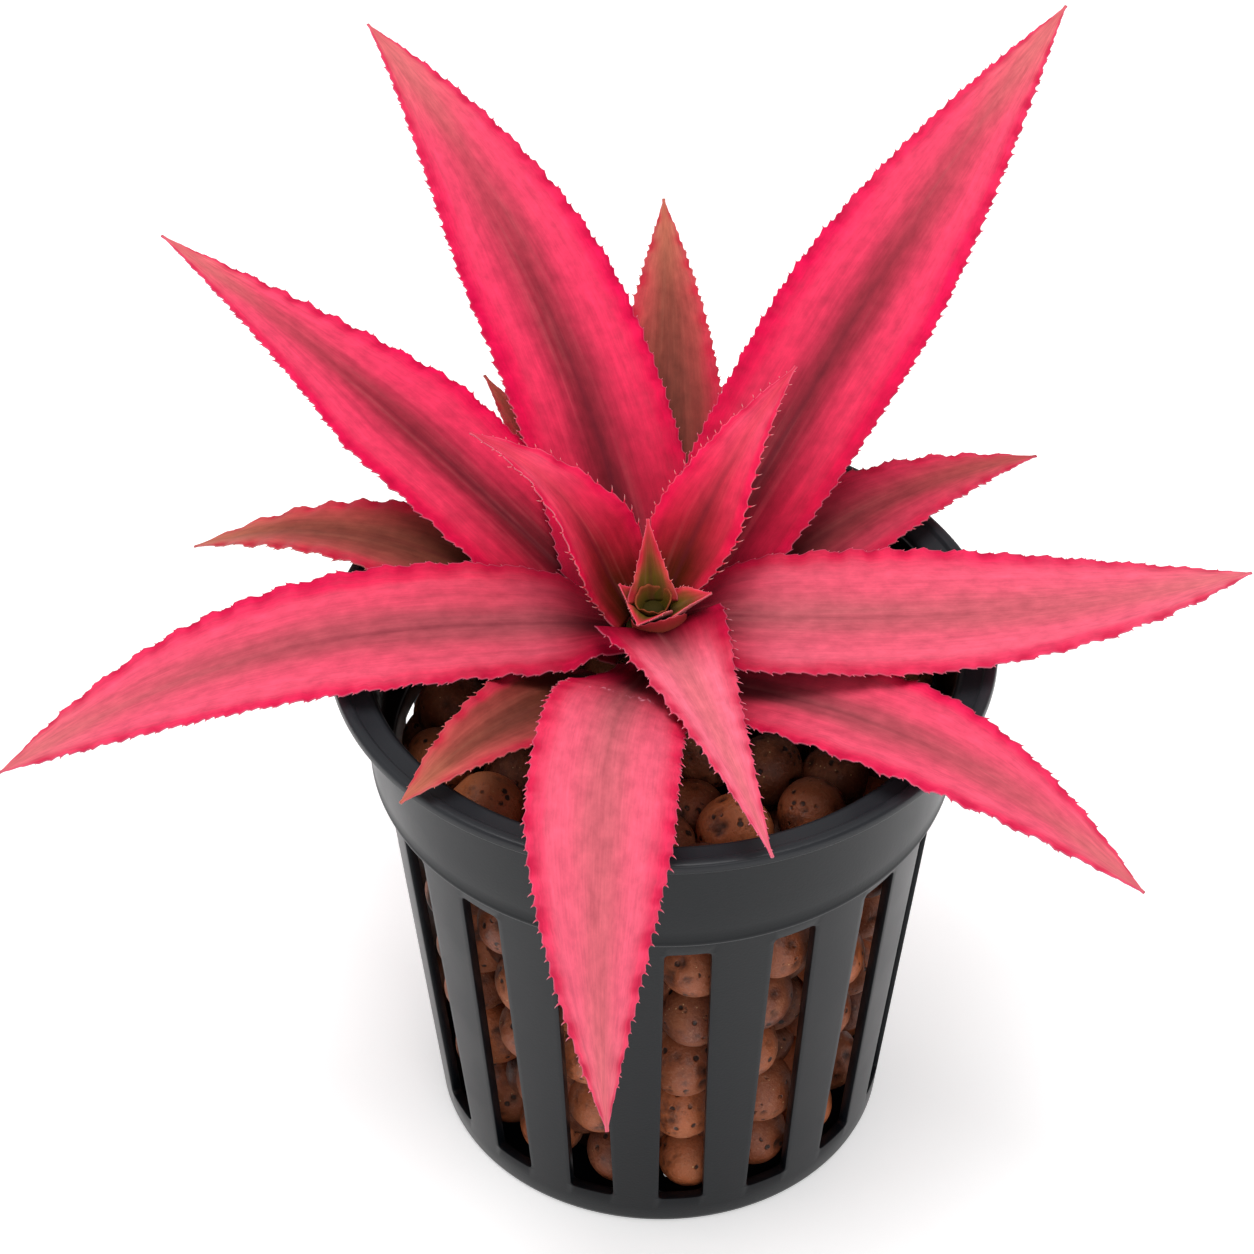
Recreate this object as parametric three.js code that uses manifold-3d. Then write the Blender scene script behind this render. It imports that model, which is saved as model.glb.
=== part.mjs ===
// Potted earth star bromeliad: a rosette of toothed leaves on a short stem,
// standing in clay pebbles in a round slotted net pot.
// Millimetres, +Z up. The origin is the centre of the pot's underside, and
// the hanging front leaf points to -Y.

import * as THREE from 'three';
import { mergeVertices } from 'three/addons/utils/BufferGeometryUtils.js';
import Module from 'manifold-3d';

const wasm = await Module();
wasm.setup();

// Pot, one moulding: flared rim, plain collar, tapered slotted wall, floor
const POT_HEIGHT = 90;
const RIM_RADIUS = 48.8;
const RIM_THICKNESS = 1.6;
const RIM_BAND = 1.8;           // raised outer band of the rim's top
const RIM_STEP = 0.7;           // how far the inner step lies below that band
const RIM_EDGE = 0.4;
const MOUTH_CHAMFER = 1.3;      // on the inner edge of that step
const COLLAR_TOP_RADIUS = 44.5;
const COLLAR_FOOT_RADIUS = 43.2;
const COLLAR_HEIGHT = 19.6;
const BODY_TOP_RADIUS = 41.6;
const BASE_RADIUS = 34.5;
const BASE_CHAMFER = 1.2;
const WALL = 1.6;
const FLOOR = 2;
const POT_SIDES = 64;

// Upright slots round the wall, and drain slots in the floor
const SLOT_COUNT = 16;
const SLOT_WIDTH = 6.8;
const SLOT_BOTTOM = 6;
const SLOT_BELOW_COLLAR = 3.8;
const SLOT_CORNER = 0.8;
const CUT_OVERLAP = 3;          // how far a cut runs past what it cuts
const FIRST_SLOT_DEG = -84.5;
const DRAIN_WIDTH = 3.6;
const DRAIN_FROM = 17;
const DRAIN_TO = 27;

// Clay pebbles: a heap whose outer pebbles show on top and in the slots
const PEBBLE_RADIUS = 5.4;
const PEBBLE_SPREAD = 0.4;      // how far a pebble's radius may differ
const HEAP_TOP = 80;            // height of the topmost pebbles
const HEAP_CLEARANCE = 0.4;     // between the heap and the pot
const HEAP_SIDES = 26;
const HEAP_CORE_DROP = 1.5;     // how far the heap's inside lies below its top pebbles
const PEBBLE_GAP = 0.6;
const HEIGHT_SPREAD = 1.6;
const ANGLE_SPREAD = 0.25;      // share of the angle from one pebble to the next

// Places of the top pebbles that show, as [x, y, how far below the heap's top]
const SHOWN_PEBBLES = [
  [-32.5, -11, 0.4], [-25, -21.6, 0], [-31, 1.7, 1.2], [-20.3, -12.6, 1.6], [4.5, -18.5, 3.6],
  [10.6, -25, 0.3], [15.5, -12, 0.5], [25.2, -12.4, 1.6], [21.8, -21.8, 0],
];
const LEAST_SPACING = 9.6;      // between those and the pebbles of the rings
const TOP_RINGS = [10.5, 19.3, 28, 36];
const SIDE_ROWS = 6;
const SIDE_FROM = 8.5;
const SIDE_TO = 66;
const SIDE_TURN = 0.16;         // radians that a side pebble may lie off its slot's middle

// Stem, from inside the heap up to the growing point
const STEM_RADIUS = 4;
const STEM_FOOT = 48;
const STEM_FOOT_SHARE = 0.6;    // its radius at the foot, as a share of its full radius
const STEM_FOOT_LENGTH = 6;
const STEM_SHOULDER = 91;       // the stem narrows from here up
const STEM_TOP = 95.2;
const STEM_TIP_RADIUS = 1.2;
const STEM_SIDES = 16;
const PLANT_X = -1.4;             // the plant stands a little off the pot's axis
const SEAT_GAP = 0.3;

// Leaves
const LEAF_THICKNESS = 0.7;
const TOOTH_PITCH = 4;
const TOOTH_HEIGHT = 0.9;
const TOOTH_LEAN = 0.68;        // where in each pitch the tooth's point lies
const TOOTH_INSET = 0.6;        // share of a tooth that lies inside the leaf's outline
const FEWEST_TEETH = 3;
const FULL_TOOTH_HALF_WIDTH = 4;  // where a leaf is narrower, its teeth and waves are smaller
const TIP_HALF_WIDTH = 0.4;
const WAVE_LENGTH = 8;
const WAVE_HEIGHT = 0.35;
const NECK_LENGTH = 11;         // a leaf has left its narrow neck this far out
const CUP_LENGTH = 22;          // and has its full channel this far out
const CHANNEL_POWER = 1.6;      // roundness of the channel across the leaf
const SWEEP_POWER = 1.5;        // a leaf's heading turns more towards its tip
const ROLL_SHARE = 0.3;         // share of its length over which a leaf takes on its roll
const ACROSS = [-1, 0, 1];      // the edges and midrib, where a blade is folded

const PINK = 0xe23a63;
const ROSE = 0xb9505a;
const OLIVE = 0x86513f;

// What a leaf has unless its row says otherwise. heading is its direction
// seen from above, in degrees from +X, and sweep how far it has turned at the
// tip. seat is the height of its foot. footRise, rise and tipRise are its
// slopes at the foot, past the foot and at the tip; it reaches rise at settle
// and turns to tipRise between bendFrom and bendTo, as shares of its length.
// neck and shoulder are its width at the foot and past the neck, as shares of
// its full width, which it has at broadest. taper shapes the outer part, cup
// and channel lift the edges at the foot and further out, and roll tilts the
// blade.
const PLAIN_LEAF = {
  sweep: 0, footRise: 8, rise: 15, tipRise: 0, settle: 0.12, bendFrom: 0.12, bendTo: 1,
  neck: 0.5, shoulder: 0.8, broadest: 0.4, taper: 1.5, cup: 0, channel: 0.12, roll: 0,
  color: PINK,
};

// From the lowest, oldest leaf to the innermost
const LEAVES = [
  { name: 'leaf_back_stub', heading: 113, sweep: 5, seat: 82.4, footRise: 7, rise: 16, tipRise: 4,
    length: 60, width: 9.8, color: OLIVE },
  { name: 'leaf_front_left_short', heading: -134, sweep: 5, seat: 83.6, rise: 24, tipRise: -6,
    length: 49, width: 15.6, taper: 1.4, roll: -3, color: OLIVE },
  { name: 'leaf_back', heading: 87, sweep: 6, seat: 84.1, rise: 16, tipRise: 10,
    length: 88, width: 18.4, roll: 2, color: OLIVE },
  { name: 'leaf_left_short', heading: 153, sweep: 4, seat: 84.9, rise: 15, tipRise: -31,
    length: 77.5, width: 17.4, broadest: 0.45, taper: 1.6, roll: 2, color: OLIVE },
  { name: 'leaf_right_short', heading: 38.5, sweep: -2, seat: 85.3, rise: 16, tipRise: -16,
    length: 71.5, width: 17.6, taper: 1.4, roll: 4, color: ROSE },
  { name: 'leaf_front_right', heading: -33, sweep: -4, seat: 84.4, footRise: 6, rise: 15, tipRise: -19,
    length: 80, width: 21, shoulder: 0.74, broadest: 0.45, roll: -4, color: PINK },
  { name: 'leaf_left_rear', heading: 134.5, sweep: 1, seat: 86.8, rise: 15, tipRise: 3,
    length: 108, width: 23.4, broadest: 0.48, taper: 0.95, roll: 2, color: PINK },
  { name: 'leaf_front_hanging', heading: -101, sweep: 21, seat: 87, footRise: 14, rise: 33,
    tipRise: -59, bendTo: 0.86, length: 92, width: 20.8, broadest: 0.54, taper: 1.3,
    channel: -0.02, roll: -12, color: PINK },
  { name: 'leaf_rear_left_tall', heading: 101, sweep: 33, seat: 88.6, footRise: 7, rise: 14,
    tipRise: 24, length: 120, width: 24.6, shoulder: 0.85, broadest: 0.51, taper: 1.7,
    channel: 0.14, roll: 4, color: PINK },
  { name: 'leaf_rear_right_tall', heading: 60, sweep: -5, seat: 90.2, footRise: 4, rise: 23,
    tipRise: 19, settle: 0.2, bendFrom: 0.2, length: 125, width: 24.3, shoulder: 0.7,
    broadest: 0.47, channel: 0.14, roll: 7, color: PINK },
  { name: 'leaf_left_long', heading: 184.5, sweep: 8, seat: 91, footRise: 13, rise: 3,
    tipRise: -29, bendFrom: 0.08, length: 96, width: 24.8, broadest: 0.37, taper: 2,
    channel: 0.1, roll: -4, color: PINK },
  { name: 'leaf_right_long', heading: -1, sweep: 18, seat: 92.1, footRise: 14, rise: -1,
    tipRise: 3, length: 85, width: 26.2, shoulder: 0.87, broadest: 0.37, taper: 1.7,
    channel: 0.1, roll: 3, color: PINK },
  { name: 'leaf_front_short', heading: -73, seat: 93.2, footRise: 18, rise: 7,
    tipRise: -4, settle: 0.2, bendFrom: 0.2, length: 53.5, width: 19.4, neck: 0.95,
    shoulder: 1, broadest: 0.05, taper: 0.85, cup: 0.25, channel: 0.11, roll: -11, color: PINK },
  { name: 'leaf_inner_left', heading: 147, sweep: 9, seat: 92, footRise: 43, rise: 62,
    tipRise: 12, settle: 0.25, bendFrom: 0.23, length: 37, width: 17, neck: 0.75,
    shoulder: 0.83, broadest: 0.33, taper: 0.93, cup: 0.3, channel: 0.31, roll: 6, color: PINK },
  { name: 'leaf_inner_right', heading: 58, sweep: -2, seat: 93.2, footRise: 43, rise: 40,
    tipRise: 14, settle: 0.25, bendFrom: 0.24, length: 42, width: 13.2, neck: 0.75,
    shoulder: 0.75, broadest: 0.34, taper: 1, cup: 0.25, channel: 0.26, roll: 7, color: PINK },
  { name: 'leaf_heart_front', heading: -106, seat: 94.4, footRise: 52, rise: 36, tipRise: 24,
    length: 7, width: 7, neck: 0.65, shoulder: 0.95, broadest: 0.3, taper: 1.1, cup: 0.5,
    channel: 0.4, color: OLIVE },
  { name: 'leaf_heart_right', heading: -6, seat: 93.6, footRise: 45, rise: 42, tipRise: 35,
    length: 8, width: 7.8, neck: 0.65, shoulder: 0.95, broadest: 0.3, taper: 1.1, cup: 0.5,
    channel: 0.4, color: OLIVE },
  { name: 'leaf_heart_left', heading: 158, seat: 93.2, footRise: 58, rise: 62, tipRise: 52,
    length: 6.5, width: 5.8, neck: 0.65, shoulder: 0.95, broadest: 0.3, taper: 1.1, cup: 0.5,
    channel: 0.4, color: OLIVE },
  { name: 'leaf_heart_back', heading: 97, seat: 94.6, footRise: 60, rise: 66, tipRise: 62,
    length: 12.2, width: 7, neck: 0.7, shoulder: 0.95, broadest: 0.25, taper: 1.2, cup: 0.5,
    channel: 0.3, color: OLIVE },
];

const rad = THREE.MathUtils.degToRad;
const ease = (x) => THREE.MathUtils.smoothstep(x, 0, 1);

// Solids: joining and cutting

// A solid from a closed geometry, with its shared vertices merged
function solidOf(geometry) {
  const bare = geometry.index ? geometry.toNonIndexed() : geometry.clone();
  bare.deleteAttribute('normal');
  bare.deleteAttribute('uv');
  const merged = mergeVertices(bare, 1e-4);
  return new wasm.Manifold(new wasm.Mesh({
    numProp: 3,
    vertProperties: new Float32Array(merged.attributes.position.array),
    triVerts: new Uint32Array(merged.index.array),
  }));
}

function geometryOf(solid) {
  const mesh = solid.getMesh();
  const geometry = new THREE.BufferGeometry();
  geometry.setAttribute('position', new THREE.BufferAttribute(mesh.vertProperties, 3));
  geometry.setIndex(new THREE.BufferAttribute(mesh.triVerts, 1));
  return geometry;
}

function meshOf(name, geometry, color, roughness) {
  const material = new THREE.MeshStandardMaterial({ color, roughness, metalness: 0 });
  geometry.computeVertexNormals();
  const mesh = new THREE.Mesh(geometry, material);
  mesh.name = name;
  return mesh;
}

// A closed lathe about +Z, from a profile of [radius, height] pairs
function turned(profile, sides) {
  const points = profile.map(([r, z]) => new THREE.Vector2(r, z));
  return new THREE.LatheGeometry(points, sides).rotateX(Math.PI / 2);
}

// Pot

const LEDGE_Z = POT_HEIGHT - RIM_THICKNESS - COLLAR_HEIGHT;

// Inside radius of the pot at a height
function innerRadius(z) {
  if (z > LEDGE_Z) return COLLAR_FOOT_RADIUS - WALL;
  const share = (z - FLOOR) / (LEDGE_Z - FLOOR);
  return THREE.MathUtils.lerp(BASE_RADIUS, BODY_TOP_RADIUS, share) - WALL;
}

function potShell() {
  const rimFoot = POT_HEIGHT - RIM_THICKNESS;
  const step = POT_HEIGHT - RIM_STEP;
  return turned([
    [0, 0],
    [BASE_RADIUS - BASE_CHAMFER, 0],
    [BASE_RADIUS, BASE_CHAMFER],
    [BODY_TOP_RADIUS, LEDGE_Z],
    [COLLAR_FOOT_RADIUS, LEDGE_Z],
    [COLLAR_TOP_RADIUS, rimFoot],
    [RIM_RADIUS - RIM_EDGE, rimFoot],
    [RIM_RADIUS, rimFoot + RIM_EDGE],
    [RIM_RADIUS, POT_HEIGHT - RIM_EDGE],
    [RIM_RADIUS - RIM_EDGE, POT_HEIGHT],
    [RIM_RADIUS - RIM_BAND, POT_HEIGHT],
    [RIM_RADIUS - RIM_BAND - RIM_EDGE, step],
    [COLLAR_TOP_RADIUS - WALL + MOUTH_CHAMFER, step],
    [COLLAR_TOP_RADIUS - WALL, step - MOUTH_CHAMFER],
    [COLLAR_FOOT_RADIUS - WALL, LEDGE_Z + WALL],
    [BODY_TOP_RADIUS - WALL, LEDGE_Z],
    [BASE_RADIUS - WALL, FLOOR],
    [0, FLOOR],
  ], POT_SIDES);
}

// A block with rounded corners, thick along Y, centred on the origin
function roundedBlock(width, height, depth, corner) {
  const x = width / 2;
  const y = height / 2;
  const shape = new THREE.Shape();
  shape.moveTo(x, y - corner);
  shape.quadraticCurveTo(x, y, x - corner, y);
  shape.lineTo(corner - x, y);
  shape.quadraticCurveTo(-x, y, -x, y - corner);
  shape.lineTo(-x, corner - y);
  shape.quadraticCurveTo(-x, -y, corner - x, -y);
  shape.lineTo(x - corner, -y);
  shape.quadraticCurveTo(x, -y, x, corner - y);
  shape.closePath();
  const block = new THREE.ExtrudeGeometry(shape, { depth, bevelEnabled: false, curveSegments: 1 });
  return block.translate(0, 0, -depth / 2).rotateX(Math.PI / 2);
}

function wallSlot(heading) {
  const top = LEDGE_Z - SLOT_BELOW_COLLAR;
  const reach = BODY_TOP_RADIUS - BASE_RADIUS + 2 * (WALL + CUT_OVERLAP);
  const slot = roundedBlock(SLOT_WIDTH, top - SLOT_BOTTOM, reach, SLOT_CORNER);
  slot.rotateZ(rad(90));
  slot.translate((BASE_RADIUS + BODY_TOP_RADIUS) / 2, 0, (top + SLOT_BOTTOM) / 2);
  return slot.rotateZ(rad(heading));
}

function drainSlot(heading) {
  const slot = new THREE.BoxGeometry(DRAIN_TO - DRAIN_FROM, DRAIN_WIDTH, 4 * FLOOR);
  slot.translate((DRAIN_FROM + DRAIN_TO) / 2, 0, 0);
  return slot.rotateZ(rad(heading));
}

function netPot() {
  let pot = solidOf(potShell());
  for (let i = 0; i < SLOT_COUNT; i += 1) {
    const heading = FIRST_SLOT_DEG + i * 360 / SLOT_COUNT;
    pot = pot.subtract(solidOf(wallSlot(heading)));
    pot = pot.subtract(solidOf(drainSlot(heading)));
  }
  return meshOf('net_pot', geometryOf(pot), 0x34383b, 0.45);
}

// Pebbles

// Repeatable random numbers from 0 to 1
function randomSource(seed) {
  let state = seed;
  return () => {
    state = (state * 1664525 + 1013904223) % 4294967296;
    return state / 4294967296;
  };
}

function pebble([x, y, z, radius], random) {
  const ball = new THREE.IcosahedronGeometry(radius);
  ball.rotateX(random() * Math.PI).rotateY(random() * Math.PI);
  return ball.translate(x, y, z);
}

// The inside of the heap, which the outer pebbles stand out of
function heapCore() {
  const inset = HEAP_CLEARANCE + PEBBLE_RADIUS;
  const foot = FLOOR + HEAP_CLEARANCE;
  const top = HEAP_TOP - PEBBLE_RADIUS - HEAP_CORE_DROP;
  return turned([
    [0, foot],
    [innerRadius(foot) - inset, foot],
    [innerRadius(LEDGE_Z) - inset, LEDGE_Z],
    [innerRadius(LEDGE_Z) - inset, top],
    [0, top],
  ], HEAP_SIDES);
}

const pebbleRadius = (random) => PEBBLE_RADIUS + PEBBLE_SPREAD * (2 * random() - 1);

// The pebbles on top: those that show, and rings of others between them
function topPebbles(random) {
  const places = SHOWN_PEBBLES.map(([x, y, drop]) => {
    const radius = pebbleRadius(random);
    return [x, y, HEAP_TOP - radius - drop, radius];
  });
  TOP_RINGS.forEach((ring, index) => {
    const count = Math.round(2 * Math.PI * ring / (2 * PEBBLE_RADIUS + PEBBLE_GAP));
    for (let i = 0; i < count; i += 1) {
      const radius = pebbleRadius(random);
      const angle = (i + index / 2 + ANGLE_SPREAD * random()) * 2 * Math.PI / count;
      const reach = Math.min(ring + random(), innerRadius(HEAP_TOP) - HEAP_CLEARANCE - radius);
      const z = HEAP_TOP - radius - HEIGHT_SPREAD * random();
      const x = reach * Math.cos(angle);
      const y = reach * Math.sin(angle);
      const free = SHOWN_PEBBLES.every(([a, b]) => Math.hypot(x - a, y - b) > LEAST_SPACING);
      if (free) places.push([x, y, z, radius]);
    }
  });
  return places;
}

// The pebbles behind the wall slots, a column to each slot
function sidePebbles(random) {
  const places = [];
  for (let column = 0; column < SLOT_COUNT; column += 1) {
    const heading = rad(FIRST_SLOT_DEG + column * 360 / SLOT_COUNT);
    for (let row = 0; row < SIDE_ROWS; row += 1) {
      const radius = pebbleRadius(random);
      const z = THREE.MathUtils.lerp(SIDE_FROM, SIDE_TO, row / (SIDE_ROWS - 1)) + random() - 0.5;
      const reach = innerRadius(z) - HEAP_CLEARANCE - PEBBLE_GAP - radius;
      const angle = heading + (random() - 0.5) * SIDE_TURN;
      places.push([reach * Math.cos(angle), reach * Math.sin(angle), z, radius]);
    }
  }
  return places;
}

function clayPebbles(stem) {
  const random = randomSource(7);
  const places = [...topPebbles(random), ...sidePebbles(random)];
  let heap = solidOf(heapCore());
  for (const place of places) {
    heap = heap.add(solidOf(pebble(place, random)));
  }
  return meshOf('clay_pebbles', geometryOf(heap.subtract(solidOf(stem))), 0x8f4f33, 0.8);
}

// Stem

// Radius of the stem at a height
function stemRadius(z) {
  const share = THREE.MathUtils.clamp((z - STEM_SHOULDER) / (STEM_TOP - STEM_SHOULDER), 0, 1);
  return THREE.MathUtils.lerp(STEM_RADIUS, STEM_TIP_RADIUS, share);
}

function stemShape(extra) {
  return turned([
    [0, STEM_FOOT - extra],
    [STEM_RADIUS * STEM_FOOT_SHARE + extra, STEM_FOOT - extra],
    [STEM_RADIUS + extra, STEM_FOOT + STEM_FOOT_LENGTH],
    [STEM_RADIUS + extra, STEM_SHOULDER],
    [STEM_TIP_RADIUS + extra, STEM_TOP],
    [0, STEM_TOP + extra],
  ], STEM_SIDES).translate(PLANT_X, 0, 0);
}

// Leaves

// Where a leaf's spine is at each of the given shares of its length, with
// the directions along it, across it and up from it
function spineOf(leaf, shares) {
  const foot = stemRadius(leaf.seat) + SEAT_GAP;
  const start = rad(leaf.heading);
  const point = new THREE.Vector3(
    PLANT_X + foot * Math.cos(start), foot * Math.sin(start), leaf.seat);
  const slopeAt = (s) => rad(leaf.footRise
    + (leaf.rise - leaf.footRise) * ease(s / leaf.settle)
    + (leaf.tipRise - leaf.rise) * ease((s - leaf.bendFrom) / (leaf.bendTo - leaf.bendFrom)));
  const headingAt = (s) => rad(leaf.heading + leaf.sweep * s ** SWEEP_POWER);
  const alongAt = (s) => new THREE.Vector3(
    Math.cos(slopeAt(s)) * Math.cos(headingAt(s)),
    Math.cos(slopeAt(s)) * Math.sin(headingAt(s)),
    Math.sin(slopeAt(s)));
  return shares.map((s, i) => {
    if (i > 0) {
      const middle = (s + shares[i - 1]) / 2;
      point.addScaledVector(alongAt(middle), (s - shares[i - 1]) * leaf.length);
    }
    const along = alongAt(s);
    const across = new THREE.Vector3(-Math.sin(headingAt(s)), Math.cos(headingAt(s)), 0);
    across.applyAxisAngle(along, rad(leaf.roll) * ease(s / ROLL_SHARE));
    return { point: point.clone(), across, up: along.clone().cross(across) };
  });
}

function halfWidth(leaf, s) {
  const outer = THREE.MathUtils.clamp((s - leaf.broadest) / (1 - leaf.broadest), 0, 1);
  const inner = Math.min(s / leaf.broadest, 1);
  const blade = s < leaf.broadest
    ? leaf.shoulder + (1 - leaf.shoulder) * Math.sin(inner * Math.PI / 2)
    : 1 - outer ** leaf.taper;
  const neckEnd = Math.min(NECK_LENGTH, leaf.length / 2);
  const neck = leaf.neck + (1 - leaf.neck) * ease(s * leaf.length / neckEnd);
  return Math.max(leaf.width / 2 * blade * neck, TIP_HALF_WIDTH);
}

// The stations along a leaf: a notch and a tooth's point by turns
function stationsOf(leaf) {
  const count = Math.max(FEWEST_TEETH, Math.round(leaf.length / TOOTH_PITCH));
  const stations = [];
  for (let i = 0; i < count; i += 1) {
    stations.push({ s: i / count, tooth: 0 });
    if (i > 0) stations.push({ s: (i + TOOTH_LEAN) / count, tooth: 1 });
  }
  stations.push({ s: 1, tooth: 0 });
  return stations;
}

// A thin blade with waved, toothed edges, split alike on both faces
function leafGeometry(leaf) {
  const stations = stationsOf(leaf);
  const spine = spineOf(leaf, stations.map((station) => station.s));
  const places = [];
  stations.forEach(({ s, tooth }, i) => {
    const { point, across, up } = spine[i];
    const half = halfWidth(leaf, s);
    const small = Math.min(1, half / FULL_TOOTH_HALF_WIDTH);
    const edge = half + (tooth - TOOTH_INSET) * TOOTH_HEIGHT * small;
    const cup = THREE.MathUtils.lerp(leaf.cup, leaf.channel, ease(s * leaf.length / CUP_LENGTH));
    const wave = WAVE_HEIGHT * small * Math.sin(2 * Math.PI * s * leaf.length / WAVE_LENGTH);
    for (const side of ACROSS) {
      const lateral = side * edge;
      const lift = half * cup * Math.abs(side) ** CHANNEL_POWER + side * wave;
      places.push({ point: point.clone().addScaledVector(across, lateral)
        .addScaledVector(up, lift), up });
    }
  });
  return bladeOf(places, ACROSS.length);
}

// A closed blade from rows of places, the same number of them in each row
function bladeOf(places, perRow) {
  const positions = [];
  for (const sign of [1, -1]) {
    for (const { point, up } of places) {
      const face = point.clone().addScaledVector(up, sign * LEAF_THICKNESS / 2);
      positions.push(face.x, face.y, face.z);
    }
  }
  const under = places.length;
  const rows = under / perRow;
  const index = [];
  const quad = (a, b, c, d) => index.push(a, b, c, a, c, d);
  for (let row = 0; row < rows - 1; row += 1) {
    for (let i = 0; i < perRow - 1; i += 1) {
      const a = row * perRow + i;
      const b = a + perRow;
      quad(a, b, b + 1, a + 1);
      quad(under + a, under + a + 1, under + b + 1, under + b);
    }
    const left = row * perRow;
    const right = left + perRow - 1;
    quad(left, under + left, under + left + perRow, left + perRow);
    quad(right, right + perRow, under + right + perRow, under + right);
  }
  for (let i = 0; i < perRow - 1; i += 1) {
    const last = (rows - 1) * perRow + i;
    quad(i, i + 1, under + i + 1, under + i);
    quad(last, under + last, under + last + 1, last + 1);
  }
  const geometry = new THREE.BufferGeometry();
  geometry.setAttribute('position', new THREE.Float32BufferAttribute(positions, 3));
  geometry.setIndex(index);
  return geometry;
}

const plant = new THREE.Group();
const group = new THREE.Group();
group.add(netPot());
group.add(clayPebbles(stemShape(SEAT_GAP)));
plant.add(meshOf('stem', stemShape(0), OLIVE, 0.7));
for (const row of LEAVES) {
  const leaf = { ...PLAIN_LEAF, ...row };
  plant.add(meshOf(leaf.name, leafGeometry(leaf), leaf.color, 0.5));
}
group.add(plant);

export default group;
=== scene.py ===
"""Looks of a potted earth star bromeliad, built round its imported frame.

Sizes are millimetres, in the frame's own axes, and turn into metres where a
mesh is made: +Z is up, the front is -Y, and the origin is the centre of the
pot's underside.
"""

import math

import bmesh
import bpy
import numpy as np
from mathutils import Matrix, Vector


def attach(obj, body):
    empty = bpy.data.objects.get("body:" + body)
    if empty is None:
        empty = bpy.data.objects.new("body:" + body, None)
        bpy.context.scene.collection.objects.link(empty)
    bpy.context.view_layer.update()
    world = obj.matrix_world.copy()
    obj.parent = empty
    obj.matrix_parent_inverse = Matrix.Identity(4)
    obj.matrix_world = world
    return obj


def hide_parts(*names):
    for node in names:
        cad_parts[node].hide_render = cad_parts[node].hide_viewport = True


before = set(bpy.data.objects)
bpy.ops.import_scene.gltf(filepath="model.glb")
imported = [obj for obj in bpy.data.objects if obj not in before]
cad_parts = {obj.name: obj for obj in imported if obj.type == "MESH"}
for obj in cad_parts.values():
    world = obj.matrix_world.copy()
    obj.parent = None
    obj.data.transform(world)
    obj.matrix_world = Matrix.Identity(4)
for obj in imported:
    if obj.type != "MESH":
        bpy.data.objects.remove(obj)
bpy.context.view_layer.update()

MM = 0.001
BODY = "root"

# Camera, close to where the photograph was taken from
CAMERA_PLACE = (-0.4, -452.8, 483.6)
CAMERA_AIM = (-5.2, 0.0, 91.1)
IMAGE_PIXELS = 1254
FOCAL_PIXELS = 4121
SENSOR_MM = 36.0

# Pot
POT_HEIGHT = 90.0
RIM_RADIUS = 48.8
RIM_THICKNESS = 1.6
RIM_BAND = 1.8
RIM_STEP = 0.7
COLLAR_TOP_RADIUS = 44.5
COLLAR_HEIGHT = 19.6
COLLAR_FOOT_RADIUS = 43.2
BODY_TOP_RADIUS = 41.6
BASE_RADIUS = 34.5
WALL = 1.6
FLOOR = 2.0
FLANGE_Z = POT_HEIGHT - RIM_THICKNESS
LEDGE_Z = FLANGE_Z - COLLAR_HEIGHT
BASE_ROUNDING = 1.2
FLOOR_RINGS = (3.0, 11.0, 30.0)
SLOT_COUNT = 16
SLOT_WIDTH = 6.8
SLOT_BOTTOM = 6.0
SLOT_TOP = LEDGE_Z - 3.8
SLOT_CORNER = 0.8
FIRST_SLOT_DEG = -84.5
DRAIN_WIDTH = 3.6
DRAIN_FROM = 17.0
DRAIN_TO = 27.0
CUT_COLUMNS = 3
RIB_COLUMNS = 5
BEVEL_WIDTH = 0.22
BEVEL_FROM_DEG = 50
SMOOTH_TO_DEG = 48

# Pebbles
PEBBLE_RADIUS = 5.4
PEBBLE_SPREAD = 0.4
PEBBLE_GAP = 0.6
HEAP_TOP = 80.0
HEAP_CLEARANCE = 0.4
HEIGHT_SPREAD = 1.6
ANGLE_SPREAD = 0.25
SHOWN_PEBBLES = (
    (-32.5, -11, 0.4), (-25, -21.6, 0), (-31, 1.7, 1.2), (-20.3, -12.6, 1.6), (4.5, -18.5, 3.6),
    (10.6, -25, 0.3), (15.5, -12, 0.5), (25.2, -12.4, 1.6), (21.8, -21.8, 0),
)
LEAST_SPACING = 9.6
TOP_RINGS = (10.5, 19.3, 28.0, 36.0)
SIDE_ROWS = 6
SIDE_FROM = 8.5
SIDE_TO = 66.0
SIDE_TURN = 0.16
PLACE_SEED = 7
HIDDEN_RINGS = (8.0, 17.0, 26.0, 34.0)
HIDDEN_PITCH = 11.0
HIDDEN_DEPTH = 13.0
HIDDEN_ROWS_FROM = 12.5
HIDDEN_INSET = 4.6
HIDDEN_SEED = 11
CORE_DEPTH = 17.0
CORE_INSET = 9.0
LUMPS = 7
LUMP_HEIGHT = 0.014
PITS = 22
PIT_DEPTH = 0.1
LUMP_SEED = 5

# Stem
STEM_RADIUS = 4.0
STEM_FOOT = 48.0
STEM_SHOULDER = 91.0
STEM_TOP = 95.2
STEM_TIP_RADIUS = 1.2
SCARRED_TO = 88.0
SCAR_PITCH = 2.4
SCAR_HEIGHT = 0.22
BARK_WAVE = 0.12
BARK_INSET = 0.34
TUBE_SIDES = 48
PLANT_X = -1.4
SEAT_GAP = 0.3

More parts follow.
